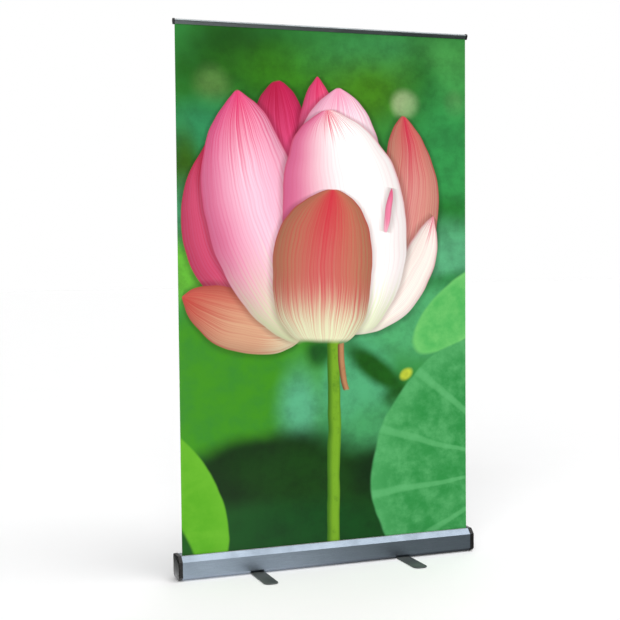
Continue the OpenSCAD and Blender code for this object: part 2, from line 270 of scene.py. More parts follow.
metals = {
    "housing_aluminium": {
        "dark": ink(104, 114, 125), "light": ink(128, 138, 149), "roughness": (0.3, 0.42),
        "along": alongX, "lines": 26.0, "bump": 0.35, "anisotropy": 0.3,
    },
    "rail_aluminium": {
        "dark": ink(120, 126, 128), "light": ink(150, 157, 158), "roughness": (0.28, 0.42),
        "along": alongX, "lines": 30.0, "bump": 0.35, "anisotropy": 0.3,
    },
    "pole_aluminium": {
        "dark": ink(172, 175, 180), "light": ink(202, 205, 208), "roughness": (0.24, 0.38),
        "along": alongZ, "lines": 30.0, "bump": 0.3,
    },
    "roller_aluminium": {
        "dark": ink(165, 167, 170), "light": ink(196, 198, 200), "roughness": (0.3, 0.45),
        "along": alongX, "lines": 24.0, "bump": 0.3,
    },
    "zinc_steel": {
        "dark": ink(150, 152, 156), "light": ink(196, 197, 198), "roughness": (0.28, 0.5),
        "along": (20, 20, 20), "lines": 30.0, "bump": 0.2, "marks": 60.0,
    },
    "spring_steel": {
        "dark": ink(70, 72, 76), "light": ink(112, 114, 118), "roughness": (0.3, 0.45),
        "along": (20, 20, 20), "lines": 30.0, "bump": 0.2, "marks": 40.0,
    },
}

plastics = {
    "end_cap_plastic": {
        "dark": ink(20, 19, 18), "light": ink(27, 26, 25), "roughness": (0.24, 0.36),
        "grain": 1400.0, "bump": 0.04, "ior": 1.28, "dust": 0.15,
    },
    "rail_cap_plastic": {
        "dark": ink(30, 30, 31), "light": ink(42, 42, 43), "roughness": (0.36, 0.5),
        "grain": 1600.0, "bump": 0.15,
    },
    "fitting_plastic": {
        "dark": ink(38, 38, 40), "light": ink(52, 52, 54), "roughness": (0.42, 0.58),
        "grain": 1200.0, "bump": 0.3,
    },
    "foot_paint": {
        "dark": ink(66, 71, 70), "light": ink(84, 89, 88), "roughness": (0.38, 0.52),
        "grain": 700.0, "bump": 0.35, "marks": 11.0,
    },
    "pad_rubber": {
        "dark": ink(26, 26, 26), "light": ink(40, 40, 40), "roughness": (0.65, 0.8),
        "grain": 900.0, "bump": 0.4, "specular": 0.3,
    },
    "white_nylon": {
        "dark": ink(216, 214, 204), "light": ink(230, 229, 221), "roughness": (0.4, 0.55),
        "grain": 900.0, "bump": 0.15,
    },
    "film_back": {
        "dark": ink(208, 210, 211), "light": ink(217, 219, 220), "roughness": (0.46, 0.58),
        "grain": 1500.0, "bump": 0.25, "marks": 14.0, "dust": 0.06,
    },
}

finishes = {name: makeMetal(name, look) for name, look in metals.items()}
finishes.update({name: makePlastic(name, look) for name, look in plastics.items()})


def dressCadNodes():
    for part in frame["record"]["subparts"]:
        material = finishes.get(part["material_slot"], finishes["film_back"])
        mesh = cadNodes[part["node"]].data
        mesh.materials.clear()
        mesh.materials.append(material)


dressCadNodes()
print("materials made:", len(finishes))

# the printed picture is a lotus over blurred leaves, all drawn by nodes
# places are (x, height) in metres on the banner, painted from back to front


def makeBlob():
    # a soft-edged ellipse of one tone, with optional ribs that fan out from a corner
    tree, given, out = newGroup(
        "pictureBlob",
        [("Point", "Vector", (0, 0, 0)), ("Under", "Color", (0, 0, 0, 1)), ("Centre", "Vector", (0, 0, 0)),
         ("Size", "Vector", (1, 1, 1)), ("Turn", "Float", 0.0), ("Soft", "Float", 0.3),
         ("Wobble", "Float", 0.2), ("Ink", "Color", (0, 0, 0, 1)), ("Rim Ink", "Color", (0, 0, 0, 1)),
         ("Rim", "Float", 0.0), ("Ribs", "Float", 0.0), ("Wave", "Float", 0.5), ("Mottle", "Float", 0.5)],
        [("Picture", "Color")],
    )
    local = vectorCalc(tree, "SUBTRACT", given["Point"], given["Centre"])
    turned = addNode(tree, "VectorRotate", {"Vector": local, "Angle": given["Turn"]}, rotation_type="Z_AXIS")
    shaped = vectorCalc(tree, "DIVIDE", turned.outputs[0], given["Size"])
    wave = calc(tree, "MULTIPLY", calc(tree, "SUBTRACT", given["Wave"], 0.5), given["Wobble"])
    reach = calc(tree, "ADD", vectorCalc(tree, "LENGTH", shaped), wave)
    outside, inside = (calc(tree, operation, 1.0, given["Soft"]) for operation in ("ADD", "SUBTRACT"))
    mask = fade(tree, reach, outside, inside)
    rim = calc(tree, "MULTIPLY", fade(tree, reach, 0.8, 1.0), given["Rim"])
    rise, run = (vectorCalc(tree, "DOT_PRODUCT", shaped, way) for way in ((0, 1, 0), (1, 0, 0)))
    angle = calc(tree, "ARCTAN2", rise, run)
    fan = fade(tree, calc(tree, "SINE", calc(tree, "MULTIPLY", angle, 14.0)), 0.86, 1.0)
    tone = mixColour(tree, fade(tree, given["Mottle"], 0.35, 0.75, 0.0, 0.6), given["Ink"], given["Rim Ink"])
    ribbed = mixColour(tree, calc(tree, "MULTIPLY", fan, given["Ribs"]), tone, given["Rim Ink"])
    edged = mixColour(tree, rim, ribbed, given["Rim Ink"])
    feed(tree, out["Picture"], mixColour(tree, mask, given["Under"], edged))
    return tree


def alongAcross(tree, given):
    # how far a point is along the line from Base to Tip (0 to 1), and how far to its side in metres
    line = vectorCalc(tree, "SUBTRACT", given["Tip"], given["Base"])
    local = vectorCalc(tree, "SUBTRACT", given["Point"], given["Base"])
    square = vectorCalc(tree, "DOT_PRODUCT", line, line)
    along = calc(tree, "DIVIDE", vectorCalc(tree, "DOT_PRODUCT", local, line), square)
    cross = vectorCalc(tree, "DOT_PRODUCT", vectorCalc(tree, "CROSS_PRODUCT", line, local), (0, 0, 1))
    across = calc(tree, "MULTIPLY", calc(tree, "DIVIDE", cross, calc(tree, "SQRT", square)), -1.0)
    humped = calc(tree, "MULTIPLY", calc(tree, "MULTIPLY", along, calc(tree, "SUBTRACT", 1.0, along)), 4.0)
    return along, calc(tree, "SUBTRACT", across, calc(tree, "MULTIPLY", humped, given["Lean"]))


petalProfile = [(0.0, 0.3), (0.09, 0.62), (0.24, 0.9), (0.44, 1.0), (0.66, 0.92), (0.82, 0.66), (0.92, 0.36),
                (0.965, 0.15), (0.985, 0.06), (1.0, 0.0)]


def makePetal():
    # one petal from Base to Tip, veined, shaded round and throwing a soft shadow on what is under it
    tree, given, out = newGroup(
        "picturePetal",
        [("Point", "Vector", (0, 0, 0)), ("Under", "Color", (0, 0, 0, 1)), ("Base", "Vector", (0, 0, 0)),
         ("Tip", "Vector", (0, 1, 0)), ("Width", "Float", 0.1), ("Lean", "Float", 0.0),
         ("Root Ink", "Color", (1, 1, 1, 1)), ("Body Ink", "Color", (1, 1, 1, 1)),
         ("Tip Ink", "Color", (1, 0, 0, 1)), ("Side Ink", "Color", (1, 0, 0, 1)),
         ("Left Side", "Float", 0.0), ("Right Side", "Float", 0.0), ("Tip Starts", "Float", 0.6),
         ("Root Ends", "Float", 0.35), ("Veins", "Float", 0.5), ("Taper", "Float", 1.0), ("Wave", "Float", 0.5)],
        [("Picture", "Color")],
    )
    along, across = alongAcross(tree, given)
    profile = addNode(tree, "FloatCurve", {"Value": along})
    curve = profile.mapping.curves[0]
    curve.points[0].location = petalProfile[0]
    curve.points[1].location = petalProfile[-1]
    for place in petalProfile[1:-1]:
        curve.points.new(*place)
    profile.mapping.update()
    blunt = calc(tree, "POWER", profile.outputs[0], given["Taper"])
    half = calc(tree, "MULTIPLY", blunt, given["Width"])
    room = calc(tree, "SUBTRACT", half, calc(tree, "ABSOLUTE", across))
    ends = calc(tree, "MULTIPLY", fade(tree, along, -0.01, 0.03), fade(tree, along, 1.0, 0.99))
    mask = calc(tree, "MULTIPLY", fade(tree, room, -0.0015, 0.0025), ends)
    ratio = calc(tree, "DIVIDE", across, calc(tree, "MAXIMUM", half, 0.002))
    size = calc(tree, "ABSOLUTE", ratio)

    # veins run from root to tip and draw together where the petal narrows
    spread = calc(tree, "ADD", calc(tree, "MULTIPLY", calc(tree, "MULTIPLY", ratio, given["Width"]), 90.0),
                  calc(tree, "MULTIPLY", along, 1.6))
    grainNoise = addNode(tree, "TexNoise", {"W": spread, "Scale": 1.0, "Detail": 3.0, "Roughness": 0.65},
                         noise_dimensions="1D").outputs[0]
    streaks = fade(tree, grainNoise, 0.38, 0.64)
    wander = calc(tree, "MULTIPLY", given["Wave"], 9.0)
    waves = calc(tree, "SINE", calc(tree, "ADD", calc(tree, "MULTIPLY", ratio, 84.0), wander))
    veins = calc(tree, "MULTIPLY", fade(tree, waves, 0.1, 1.0), fade(tree, along, 0.05, 0.3))
    streaky = weighed(tree, streaks, 0.5, veins, 0.5)

    grown = calc(tree, "ADD", along, calc(tree, "MULTIPLY", calc(tree, "SUBTRACT", streaks, 0.5), 0.12))
    tone = mixColour(tree, fade(tree, grown, 0.02, given["Root Ends"]), given["Root Ink"], given["Body Ink"])
    arched = calc(tree, "SUBTRACT", grown, calc(tree, "MULTIPLY", size, 0.08))
    tone = mixColour(tree, fade(tree, arched, given["Tip Starts"], 1.0), tone, given["Tip Ink"])
    leftShare = calc(tree, "MULTIPLY", fade(tree, ratio, 0.15, -0.95), given["Left Side"])
    rightShare = calc(tree, "MULTIPLY", fade(tree, ratio, -0.15, 0.95), given["Right Side"])
    sides = calc(tree, "MULTIPLY", calc(tree, "ADD", leftShare, rightShare), fade(tree, along, 0.1, 0.5))
    tone = mixColour(tree, sides, tone, given["Side Ink"])
    veinTone = mixColour(tree, 0.5, tone, given["Tip Ink"])
    tone = mixColour(tree, calc(tree, "MULTIPLY", streaky, given["Veins"]), tone, veinTone)

    edge = calc(tree, "MULTIPLY", fade(tree, room, 0.012, 0.0), fade(tree, along, 0.3, 0.75, 0.0, 0.55))
    tone = mixColour(tree, edge, tone, given["Tip Ink"])
    rounded = fade(tree, size, 0.5, 1.15, 1.0, 0.7)
    lit = calc(tree, "MULTIPLY", rounded, fade(tree, ratio, -1.0, 0.6, 0.88, 1.0))
    shaded = mixColour(tree, lit, ink(50, 14, 20), tone)
    shadow = calc(tree, "MULTIPLY", calc(tree, "MULTIPLY", fade(tree, room, -0.03, 0.0), ends), 0.4)
    shadowed = mixColour(tree, 1.0, given["Under"], ink(120, 90, 90), "MULTIPLY")
    under = mixColour(tree, shadow, given["Under"], shadowed)
    feed(tree, out["Picture"], mixColour(tree, mask, under, shaded))
    return tree


def makeStrip():
    # a stalk: a band between two points, darker on one side and speckled
    tree, given, out = newGroup(
        "pictureStrip",
        [("Point", "Vector", (0, 0, 0)), ("Under", "Color", (0, 0, 0, 1)), ("Base", "Vector", (0, 0, 0)),
         ("Tip", "Vector", (0, 1, 0)), ("Width", "Float", 0.02), ("Lean", "Float", 0.0),
         ("Ink", "Color", (0, 0, 0, 1)), ("Shade Ink", "Color", (0, 0, 0, 1)), ("Mottle", "Float", 0.5)],
        [("Picture", "Color")],
    )
    along, across = alongAcross(tree, given)
    room = calc(tree, "SUBTRACT", given["Width"], calc(tree, "ABSOLUTE", across))
    ends = calc(tree, "MULTIPLY", fade(tree, along, -0.02, 0.03), fade(tree, along, 1.02, 0.97))
    mask = calc(tree, "MULTIPLY", fade(tree, room, -0.002, 0.002), ends)
    ratio = calc(tree, "DIVIDE", across, given["Width"])
    specks = fade(tree, given["Mottle"], 0.5, 0.7)
    shade = calc(tree, "MAXIMUM", fade(tree, ratio, 0.1, -1.0), calc(tree, "MULTIPLY", specks, 0.45))
    shade = calc(tree, "MAXIMUM", shade, fade(tree, ratio, 0.6, 1.0, 0.0, 0.55))
    tone = mixColour(tree, shade, given["Ink"], given["Shade Ink"])
    feed(tree, out["Picture"], mixColour(tree, mask, given["Under"], tone))
    return tree


def at(place):
    return (place[0], place[1], 0.0)


def darker(colour, share=0.45):
    return tuple(value * share for value in colour[:3]) + (1.0,)


def blob(centre, size, colour, soft=0.5, rim=None, turn=0.0, wobble=0.4, rimShare=0.0, ribs=0.0):
    return "blob", {
        "Centre": at(centre), "Size": (size[0], size[1], 1.0), "Ink": colour, "Soft": soft,
        "Rim Ink": rim or darker(colour), "Turn": math.radians(turn), "Wobble": wobble, "Rim": rimShare,
        "Ribs": ribs,
    }


def petal(base, tip, width, lean, root, body, tipInk, **more):
    values = {
        "Base": at(base), "Tip": at(tip), "Width": width, "Lean": lean, "Root Ink": root, "Body Ink": body,
        "Tip Ink": tipInk, "Side Ink": more.pop("sideInk", tipInk),
    }
    names = {"left": "Left Side", "right": "Right Side", "tipStarts": "Tip Starts", "rootEnds": "Root Ends",
             "veins": "Veins", "taper": "Taper"}
    values.update({names[key]: value for key, value in more.items()})
    return "petal", values


def strip(base, tip, width, colour, shade, lean=0.0):
    return "strip", {
        "Base": at(base), "Tip": at(tip), "Width": width, "Lean": lean, "Ink": colour, "Shade Ink": shade,
    }


picture = [
    # the blurred pond behind
    blob((-0.32, 1.97), (0.26, 0.13), ink(27, 86, 18), 0.7),
    blob((0.0, 1.92), (0.34, 0.1), ink(54, 128, 14), 0.7),
    blob((0.26, 2.0), (0.3, 0.12), ink(56, 138, 70), 0.8),
    blob((0.5, 1.93), (0.16, 0.12), ink(74, 158, 74), 0.8),
    blob((0.4, 1.84), (0.08, 0.17), ink(28, 92, 22), 0.8),
    blob((0.18, 1.84), (0.18, 0.12), ink(66, 130, 20), 0.8),
    blob((0.33, 1.81), (0.05, 0.05), ink(160, 180, 128), 0.5, wobble=0.1),
    blob((0.55, 1.81), (0.04, 0.05), ink(104, 152, 86), 0.6, wobble=0.1),
    blob((-0.46, 1.86), (0.06, 0.06), ink(84, 130, 60), 0.7, wobble=0.1),
    blob((-0.5, 1.7), (0.16, 0.09), ink(46, 138, 84), 0.7),
    blob((-0.57, 1.5), (0.05, 0.17), ink(52, 98, 10), 0.7),
    blob((-0.56, 1.33), (0.17, 0.14), ink(70, 156, 106), 0.7),
    blob((-0.58, 1.17), (0.26, 0.12), ink(96, 178, 50), 0.6),
    blob((0.52, 1.58), (0.2, 0.3), ink(48, 146, 72), 0.7),
    blob((0.52, 1.36), (0.16, 0.08), ink(30, 118, 40), 0.7),
    blob((0.52, 1.2), (0.24, 0.14), ink(88, 172, 122), 0.6),
    blob((0.5, 1.1), (0.22, 0.035), ink(40, 128, 60), 0.8, turn=-8),
    blob((0.36, 0.95), (0.34, 0.15), ink(76, 166, 104), 0.5),
    # leaves in the middle distance
    blob((-0.35, 0.74), (0.36, 0.34), ink(58, 138, 18), 0.12, rim=ink(44, 124, 42), wobble=0.3),
    blob((0.12, 0.7), (0.16, 0.2), ink(76, 164, 112), 0.35),
    blob((-0.12, 0.62), (0.08, 0.16), ink(84, 168, 124), 0.7),
    blob((0.21, 0.76), (0.17, 0.045), ink(24, 88, 16), 0.5, turn=36),
    blob((0.3, 0.64), (0.07, 0.05), ink(22, 82, 14), 0.5),
    blob((-0.04, 0.84), (0.05, 0.05), ink(28, 92, 30), 0.6),
    blob((0.18, 0.52), (0.2, 0.1), ink(66, 152, 92), 0.6, turn=-14),
    blob((-0.3, 0.4), (0.34, 0.13), ink(10, 44, 6), 0.35, turn=-10),
    blob((0.02, 0.33), (0.4, 0.14), ink(16, 62, 8), 0.5, turn=10),
    blob((0.2, 0.36), (0.1, 0.1), ink(8, 46, 8), 0.6),
    blob((-0.06, 0.15), (0.36, 0.1), ink(8, 68, 18), 0.6),
    # crisp leaves in front
    blob((-0.87, 0.19), (0.5, 0.44), ink(82, 160, 22), 0.012, rim=ink(104, 176, 40), turn=58, wobble=0.05,
         rimShare=0.45, ribs=0.2),
    blob((-0.71, 0.08), (0.15, 0.3), ink(14, 84, 12), 0.05, wobble=0.1, turn=-27),
    blob((0.58, 1.0), (0.26, 0.11), ink(74, 170, 84), 0.05, rim=ink(120, 198, 110), turn=-38, wobble=0.1,
         rimShare=0.4),
    blob((0.88, 0.33), (0.7, 0.6), ink(40, 134, 62), 0.01, rim=ink(96, 178, 112), wobble=0.06, rimShare=0.3,
         ribs=0.5),
    blob((0.335, 0.745), (0.03, 0.02), ink(190, 204, 56), 0.4, turn=-30, wobble=0.9),
    # stalk and a dry sepal
    strip((0.01, 0.05), (0.02, 0.93), 0.027, ink(112, 160, 30), ink(54, 104, 14), lean=0.006),
    strip((0.078, 0.69), (0.052, 0.87), 0.013, ink(176, 124, 84), ink(104, 66, 40), lean=-0.008),
    # the flower, back petals first
    petal((-0.1, 1.15), (-0.21, 1.885), 0.13, -0.01, ink(240, 130, 170), ink(224, 80, 132), ink(178, 18, 64),
          tipStarts=0.5, taper=0.55, right=0.6, sideInk=ink(196, 26, 84)),
    petal((-0.03, 1.3), (-0.036, 1.91), 0.085, 0.0, ink(236, 140, 176), ink(238, 116, 158), ink(214, 40, 92),
          tipStarts=0.6, taper=0.8, left=0.7, sideInk=ink(214, 74, 122)),
    petal((0.05, 1.1), (0.05, 1.868), 0.19, 0.0, ink(255, 252, 250), ink(252, 228, 236), ink(240, 140, 176),
          tipStarts=0.74, left=0.75, sideInk=ink(242, 168, 198), taper=0.75, veins=0.4),
    petal((0.12, 0.94), (0.326, 1.768), 0.14, 0.11, ink(226, 232, 206), ink(216, 146, 138), ink(200, 28, 66),
          tipStarts=0.6, rootEnds=0.52, left=0.6, right=0.45, sideInk=ink(190, 146, 112), taper=0.75, veins=0.8),
    petal((0.06, 0.92), (0.458, 1.372), 0.085, 0.085, ink(236, 238, 214), ink(246, 238, 228), ink(222, 110, 132),
          tipStarts=0.82, taper=0.85),
    petal((-0.12, 0.96), (-0.478, 1.648), 0.15, -0.13, ink(206, 196, 160), ink(210, 88, 124), ink(204, 20, 60),
          tipStarts=0.74, rootEnds=0.4, left=0.5, sideInk=ink(190, 56, 96), taper=0.8, veins=0.9),
    petal((-0.1, 0.935), (-0.59, 1.07), 0.118, -0.03, ink(226, 214, 178), ink(212, 164, 130), ink(184, 66, 58),
          tipStarts=0.4, right=0.85, sideInk=ink(188, 84, 72), taper=0.85, veins=0.5),
    petal((-0.06, 0.9), (-0.368, 1.846), 0.2, -0.075, ink(214, 224, 178), ink(252, 208, 226), ink(222, 48, 106),
          tipStarts=0.6, rootEnds=0.46, left=0.8, right=0.4, sideInk=ink(222, 78, 136), taper=0.8, veins=0.5),
    petal((0.05, 0.9), (0.0, 1.782), 0.26, 0.05, ink(228, 236, 200), ink(255, 250, 248), ink(222, 70, 104),
          tipStarts=0.86, rootEnds=0.26, left=1.0, sideInk=ink(232, 112, 158), taper=0.7, veins=0.25),
    petal((0.246, 1.3), (0.274, 1.48), 0.014, 0.004, ink(240, 170, 190), ink(232, 130, 160), ink(220, 90, 130),
          taper=0.8),
    petal((-0.025, 0.878), (0.022, 1.476), 0.208, -0.02, ink(222, 228, 188), ink(204, 104, 100), ink(206, 40, 62),
          tipStarts=0.3, rootEnds=0.42, left=0.95, right=0.95, sideInk=ink(176, 124, 90), taper=0.62, veins=0.9),
]

film = {
    "columns": 48,
    "rows": 80,
    "thick": 0.3 * mm,
    "flatEnds": 0.02,       # share of the height that stays flat at the slot and at the rail
    "curl": 1.6 * mm,       # how far the side edges curl back
    "curlWidth": 40 * mm,
    "ripple": 0.5 * mm,     # slow waves across the tensioned film
    "rippleTurn": 11,       # radians to the metre across the film
    "wander": 1.3,          # radians by which the waves shift on the way up
    "wanderTurn": 2.1,
    "drop": 2 * 600 * mm,   # both pole sections slide down by this much
}

bannerLow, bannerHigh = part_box("banner")
slotZ, filmTop = bannerLow.z, bannerHigh.z
heightName = "restHeight"   # 0 at the slot and 1 at the top, as the film was cut


def makePrint():
    groups = {"blob": makeBlob(), "petal": makePetal(), "strip": makeStrip()}
    material, tree, shader, point = newMaterial("film_print", **{"Specular IOR Level": 0.2})
    split = addNode(tree, "SeparateXYZ", {"Vector": point}).outputs
    # the film winds down into the slot without shrinking, so the picture is placed from its top edge
    height = addNode(tree, "Attribute", attribute_name=heightName).outputs["Fac"]
    above = calc(tree, "SUBTRACT", split[2], slotZ)
    shown = calc(tree, "DIVIDE", above, calc(tree, "MAXIMUM", height, 0.0001))
    fromTop = calc(tree, "MULTIPLY", calc(tree, "SUBTRACT", 1.0, height), shown)
    level = calc(tree, "SUBTRACT", filmTop, fromTop)
    flat = addNode(tree, "CombineXYZ", {"X": split[0], "Y": level}).outputs[0]
    sway = addNode(tree, "TexNoise", {"Vector": flat, "Scale": 4.0, "Detail": 2.0}).outputs["Color"]
    nudge = vectorCalc(tree, "SCALE", vectorCalc(tree, "SUBTRACT", sway, (0.5, 0.5, 0.5)))
    nudge.node.inputs["Scale"].default_value = 0.03
    place = vectorCalc(tree, "ADD", flat, nudge)

    clouds = noise(tree, flat, 3.2, 4.0, 0.55)
    # both noises lean on the height in the picture, so nothing below is worked out before it is needed
    rise = vectorCalc(tree, "DOT_PRODUCT", place, (0, 1, 0))
    wave = calc(tree, "ADD", noise(tree, flat, 5.0, 2.0), fade(tree, rise, 0.0, 2.0, 0.0, 0.01))
    mottle = calc(tree, "ADD", noise(tree, flat, 11.0, 5.0, 0.68), fade(tree, rise, 0.0, 2.0, 0.0, 0.04))
    shared = {"Point": place, "Wave": wave, "Mottle": mottle}
    colour = mixColour(tree, fade(tree, clouds, 0.35, 0.65), ink(34, 104, 26), ink(48, 132, 56))
    colour = mixColour(tree, fade(tree, level, 1.3, 0.6, 0.0, 0.6), colour, ink(44, 128, 52))
    colour = mixColour(tree, fade(tree, level, 0.5, 0.25, 0.0, 0.85), colour, ink(10, 58, 14))
    for kind, values in picture:
        wanted = {name: value for name, value in shared.items() if name in groups[kind].interface.items_tree}
        colour = useGroup(tree, groups[kind], {**values, **wanted, "Under": colour})["Picture"]
    feed(tree, shader.inputs["Base Color"], colour)

    skin = useGroup(tree, grain, {"Point": flat, "Scale": 1100.0})
    marks = useGroup(tree, handled, {"Point": flat, "Scale": 2.5})
    feed(tree, shader.inputs["Roughness"], fade(tree, marks["Smudge"], 0.0, 1.0, 0.38, 0.48))
    bump(tree, shader, skin["Grain"], 0.12, 0.03 * mm)
    return material


def makeBannerFilm():
    width, height = bannerHigh.x - bannerLow.x, filmTop - slotZ
    middle = (bannerLow + bannerHigh) / 2
    bpy.ops.mesh.primitive_grid_add(
        x_subdivisions=film["columns"], y_subdivisions=film["rows"], size=1,
        location=middle, rotation=(math.radians(90), 0, 0))
    sheet = bpy.context.object
    sheet.name = "banner_film"
    sheet.scale = (width, height, 1)
    bpy.ops.object.transform_apply(location=True, rotation=True, scale=True)
    mesh = sheet.data
    attribute = mesh.attributes.new(heightName, "FLOAT", "POINT")
    for vertex in mesh.vertices:
        share = min(max((vertex.co.z - slotZ) / height, 0), 1)
        attribute.data[vertex.index].value = share
        loose = min(max((share - film["flatEnds"]) / (1 - 2 * film["flatEnds"]), 0), 1)
        free = math.sin(math.pi * loose) ** 0.5
        edge = max(0, abs(vertex.co.x) - (width / 2 - film["curlWidth"])) / film["curlWidth"]
        shift = film["wander"] * math.sin(vertex.co.z * film["wanderTurn"])
        waves = math.sin(vertex.co.x * film["rippleTurn"] + shift)
        vertex.co.y += free * (film["curl"] * edge ** 2 + film["ripple"] * waves)
    for material in (makePrint(), finishes["film_back"], finishes["film_back"]):
        mesh.materials.append(material)
    solid = sheet.modifiers.new("thickness", "SOLIDIFY")
    solid.thickness = film["thick"]
    solid.offset = 0
    solid.material_offset = 1
    solid.material_offset_rim = 2
    bpy.ops.object.modifier_apply(modifier="thickness")
    bpy.ops.object.shade_smooth_by_angle(angle=math.radians(40))
    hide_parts("banner")
    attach(sheet, "base")
    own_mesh(sheet)
    return sheet


makeBannerFilm()
print("banner film made")


# modelling helpers, which take millimetres

def only(piece):
    bpy.ops.object.select_all(action="DESELECT")
    piece.select_set(True)
    bpy.context.view_layer.objects.active = piece


def addBlock(name, low, high):
    # low and high are opposite corners
    middle = [(a + b) / 2 * mm for a, b in zip(low, high)]
    bpy.ops.object.select_all(action="DESELECT")
    bpy.ops.mesh.primitive_cube_add(size=1, location=middle)
    block = bpy.context.object
    block.name = name
    block.scale = [abs(b - a) * mm for a, b in zip(low, high)]
    bpy.ops.object.transform_apply(location=True, rotation=True, scale=True)
    return block


def addRod(place, radius, length, axis="X", topRadius=None, sides=32):
    topRadius = radius if topRadius is None else topRadius
    bpy.ops.object.select_all(action="DESELECT")
    bpy.ops.mesh.primitive_cone_add(
        vertices=sides, radius1=radius * mm, radius2=topRadius * mm, depth=length * mm,
        location=[value * mm for value in place],
        rotation=(0, math.radians(90), 0) if axis == "X" else (0, 0, 0))
    bpy.ops.object.transform_apply(location=True, rotation=True, scale=True)
    return bpy.context.object


def edit(piece):
    only(piece)
    bpy.ops.object.mode_set(mode="EDIT")


def leave():
    bpy.ops.object.mode_set(mode="OBJECT")


def pick(piece, kind, wanted):
    bpy.ops.mesh.select_mode(type=kind)
    bpy.ops.mesh.select_all(action="DESELECT")
    mesh = bmesh.from_edit_mesh(piece.data)
    for item in mesh.faces if kind == "FACE" else mesh.edges:
        item.select_set(bool(wanted(item)))
    bmesh.update_edit_mesh(piece.data)


sameSpot = 0.02 * mm
sharpEdge = math.radians(17)


def near(a, b):
    return abs(a - b) < sameSpot


def bevel(size, segments):
    bpy.ops.mesh.bevel(offset=size * mm, segments=segments, profile=0.5, affect="EDGES", clamp_overlap=False)


def bevelCorner(piece, axes, place, size, segments):
    # the straight edge at one corner of an outline, such as (y, z)
    spots = [value * mm for value in place]
    pick(piece, "EDGE", lambda e: all(near(v.co[i], spot) for v in e.verts for i, spot in zip(axes, spots)))
    bevel(size, segments)


def bevelRim(piece, axis, place, size, segments):
    # every sharp edge that lies in the plane at place across the axis
    def onRim(e):
        return e.calc_face_angle(0) > sharpEdge and all(near(v.co[axis], place * mm) for v in e.verts)
    pick(piece, "EDGE", onRim)
    bevel(size, segments)


def cut(piece, tools, operation="DIFFERENCE"):
    # the tools are joined, taken away from the piece or added to it, and removed
    only(tools[0])
    for tool in tools:
        tool.select_set(True)
    if len(tools) > 1:
        bpy.ops.object.join()
    tool = bpy.context.object
    only(piece)
    modifier = piece.modifiers.new("cut", "BOOLEAN")
    modifier.operation = operation
    modifier.solver = "EXACT"
    modifier.object = tool
    bpy.ops.object.modifier_apply(modifier="cut")
    only(tool)
    bpy.ops.object.delete()
    only(piece)


def mirroredCopy(piece, name):
    only(piece)
    bpy.ops.object.duplicate()
    other = bpy.context.object
    other.name = name
    bpy.ops.transform.resize(value=(-1, 1, 1), center_override=(0, 0, 0))
    bpy.ops.object.transform_apply(location=True, rotation=True, scale=True)
    edit(other)
    bpy.ops.mesh.select_all(action="SELECT")
    bpy.ops.mesh.normals_make_consistent(inside=False)
    leave()
    return other


def finishPiece(piece, material, node, body, angle=32):
    only(piece)
    bpy.ops.object.shade_smooth_by_angle(angle=math.radians(angle))
    piece.data.materials.clear()
    piece.data.materials.append(finishes[material])
    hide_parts(node)
    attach(piece, body)


# end caps of the housing, drawn on the right and mirrored
endCap = {
    "inner": 605, "outer": 621,
    "low": (-41.5, 4.5), "high": (41.5, 94),
    "toeCut": 10.9, "shoulderCut": 20.9, "backRound": 23.5, "topRound": 7.5,
    "rimRound": 2.4, "wall": 2.7, "skin": 3.0,
    "posts": [(-35.4, 24), (-35.4, 64), (35.4, 80), (30.3, 15.7)],
    "postRadius": 3.6, "screwHole": 1.7, "headHole": 2.9, "headDepth": 8,
    "axle": (5, 40), "hubRadius": 9, "axleHole": 5, "square": 6.1, "socketDepth": 11,
    "sides": 48, "root": 0.5,   # how far the posts stand in the skin
}
past = 2    # how far a cutting tool stands out of the face it cuts


def makeEndCaps():
    given = endCap
    inner, outer = given["inner"], given["outer"]
    (y0, z0), (y1, z1) = given["low"], given["high"]
    cap = addBlock("cap_right_shell", (inner, y0, z0), (outer, y1, z1))
    edit(cap)
    bevelCorner(cap, (1, 2), (y0, z0), given["toeCut"], 1)
    bevelCorner(cap, (1, 2), (y0, z1), given["shoulderCut"], 1)
    bevelCorner(cap, (1, 2), (y1, z0), given["backRound"], 14)
    bevelCorner(cap, (1, 2), (y1, z1), given["topRound"], 7)
    bevelRim(cap, 0, outer, given["rimRound"], 4)
    pick(cap, "FACE", lambda f: near(f.calc_center_median().x, inner * mm))
    bpy.ops.mesh.inset(thickness=given["wall"] * mm, depth=0)
    bpy.ops.mesh.extrude_region_move(
        TRANSFORM_OT_translate={"value": ((outer - inner - given["skin"]) * mm, 0, 0)})
    leave()
    # posts for the screws, and the hub
    depth = outer - inner - given["skin"] + given["root"]
    posts = [addRod((inner + depth / 2, y, z), given["postRadius"], depth) for y, z in given["posts"]]
    hub = addRod((inner + depth / 2, *given["axle"]), given["hubRadius"], depth, sides=given["sides"])
    cut(cap, posts + [hub], "UNION")
    middle, through = (inner + outer) / 2, outer - inner + 2 * past
    cut(cap, [addRod((middle, y, z), given["screwHole"], through) for y, z in given["posts"]])
    middle, through = outer + past - given["headDepth"] / 2, given["headDepth"] + 2 * past
    cut(cap, [addRod((middle, y, z), given["headHole"], through) for y, z in given["posts"]])
    other = mirroredCopy(cap, "cap_left_shell")
    y, z = given["axle"]
    deep, half = given["socketDepth"], given["square"] / 2
    cut(cap, [addRod((inner + (deep - past) / 2, y, z), given["axleHole"], deep + past, sides=given["sides"])])
    cut(other, [addBlock("key", (-inner - deep, y - half, z - half), (-inner + past / 2, y + half, z + half))])
    finishPiece(cap, "end_cap_plastic", "end_cap_right", "base")
    finishPiece(other, "end_cap_plastic", "end_cap_left", "base")


makeEndCaps()
print("end caps made")

